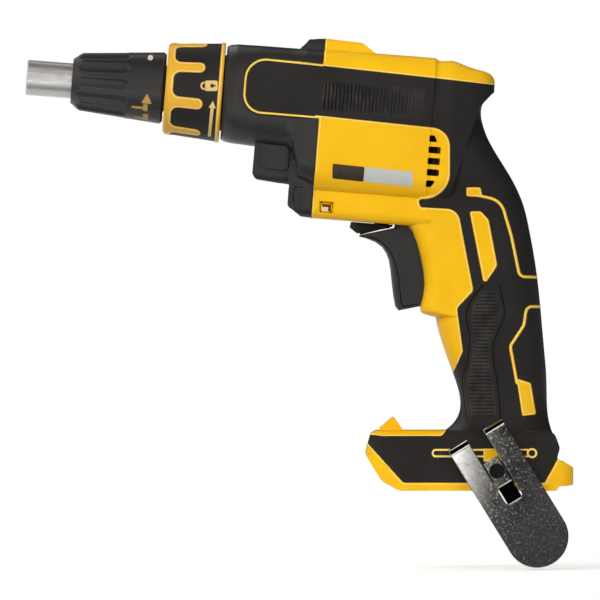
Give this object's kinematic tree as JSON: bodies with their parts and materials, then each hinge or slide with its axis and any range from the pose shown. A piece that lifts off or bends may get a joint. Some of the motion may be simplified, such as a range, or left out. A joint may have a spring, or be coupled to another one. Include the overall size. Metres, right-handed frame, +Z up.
{
  "type": "cordless drywall screwdriver",
  "caption": "Pistol-grip cordless drywall screwdriver, bare of its battery, with a depth-set nose, lock collar, trigger and belt clip; drives screws to a set depth.",
  "frame": {"origin": "middle of the battery foot's lower face, where the battery's rails slide in", "axes": "+Z up through the handle, -X towards the nose, -Y the tool's left side, which carries the belt clip"},
  "size_m": [0.2599, 0.0735, 0.2507],
  "materials": {
    "housing_yellow": "fine-grained moulded, yellow",
    "grip_black": "matt soft-touch overmould, black",
    "case_black": "satin moulded, black",
    "collar_yellow": "satin moulded, yellow",
    "trigger_black": "satin moulded, black",
    "lens_clear": "frosted clear",
    "steel": "satin turned steel",
    "spring_steel": "polished sheet",
    "screw_black": "blackened steel",
    "gear_steel": "ground steel",
    "bearing_steel": "ground steel",
    "bronze": "sintered bronze",
    "brass": "turned brass",
    "copper": "enamelled copper wire",
    "core_iron": "laminated iron",
    "plate_alloy": "die-cast",
    "inner_plastic": "moulded, dark grey",
    "board_green": "coated circuit board"
  },
  "bodies": {
    "tool_body": {"left_housing": "housing_yellow", "right_housing": "housing_yellow", "left_grip": "grip_black", "right_grip": "grip_black", "gear_case": "case_black", "bearing_plate": "plate_alloy", "motor_stator": "core_iron", "stator_windings": "copper", "rotor_bearings": "bearing_steel", "spindle_bush": "bronze", "spindle_bearing": "bearing_steel", "switch_module": "inner_plastic", "control_board": "board_green", "terminal_block": "inner_plastic", "terminal_blades": "copper", "work_light_lens": "lens_clear", "work_light_board": "board_green", "housing_screws": "screw_black", "belt_clip": "spring_steel", "belt_clip_screw": "screw_black", "clip_inserts": "brass"},
    "gear_body": {"drive_gear": "gear_steel"},
    "rotor_body": {"rotor_shaft": "gear_steel", "rotor_core": "core_iron", "cooling_fan": "inner_plastic", "pinion": "gear_steel"},
    "spindle_body": {"spindle": "gear_steel", "clutch_jaw": "gear_steel", "bit_holder": "steel", "clutch_spring": "bearing_steel"},
    "trigger_body": {"trigger": "trigger_black"},
    "lever_body": {"direction_lever": "trigger_black"},
    "button_body": {"lock_button": "housing_yellow"},
    "collar_body": {"lock_collar": "collar_yellow", "collar_grip": "grip_black"},
    "nose_body": {"nose_carrier": "inner_plastic"},
    "sleeve_body": {"depth_sleeve": "case_black"},
    "locator_body": {"locator": "steel"}
  },
  "joints": [
    {"name": "gear_spin", "type": "hinge", "parent": "tool_body", "child": "gear_body", "pos_m": [-0.08341, 0, 0.18593], "axis": [0.9969, 0, -0.0785], "continuous": true},
    {"name": "rotor_spin", "type": "hinge", "parent": "tool_body", "child": "rotor_body", "pos_m": [-0.08535, 0, 0.16121], "axis": [0.9969, 0, -0.0785], "continuous": true},
    {"name": "clutch_push", "type": "slide", "parent": "gear_body", "child": "spindle_body", "axis": [0.9969, 0, -0.0785], "range_m": [0, 0.0025], "stiffness_N_per_m": 4000, "springref_m": -0.0005, "deforming": ["clutch_spring"]},
    {"name": "trigger_pull", "type": "slide", "parent": "tool_body", "child": "trigger_body", "axis": [1, 0, 0], "range_m": [0, 0.006], "stiffness_N_per_m": 1500, "springref_m": -0.001},
    {"name": "direction_turn", "type": "hinge", "parent": "tool_body", "child": "lever_body", "pos_m": [-0.04244, 0, 0.12654], "axis": [0.0785, 0, 0.9969], "range_deg": [-10, 10]},
    {"name": "lock_push", "type": "slide", "parent": "tool_body", "child": "button_body", "axis": [0, 1, 0], "range_m": [0, 0.002], "stiffness_N_per_m": 600, "springref_m": -0.0005},
    {"name": "collar_turn", "type": "hinge", "parent": "tool_body", "child": "collar_body", "pos_m": [-0.13126, 0, 0.1897], "axis": [0.9969, 0, -0.0785], "range_deg": [0, 40]},
    {"name": "nose_release", "type": "slide", "parent": "tool_body", "child": "nose_body", "axis": [-0.9969, 0, 0.0785], "range_m": [0, 0.06]},
    {"name": "depth_turn", "type": "hinge", "parent": "nose_body", "child": "sleeve_body", "pos_m": [-0.16715, 0, 0.19252], "axis": [0.9969, 0, -0.0785], "range_deg": [-360, 360]},
    {"name": "locator_slide", "type": "slide", "parent": "nose_body", "child": "locator_body", "axis": [-0.9969, 0, 0.0785], "range_m": [-0.003, 0.003]}
  ],
  "couplings": [
    {"joint": "rotor_spin", "follows": "gear_spin", "ratio": -4.1667},
    {"joint": "depth_turn", "follows": "locator_slide", "rad_per_m": 2094.4}
  ]
}
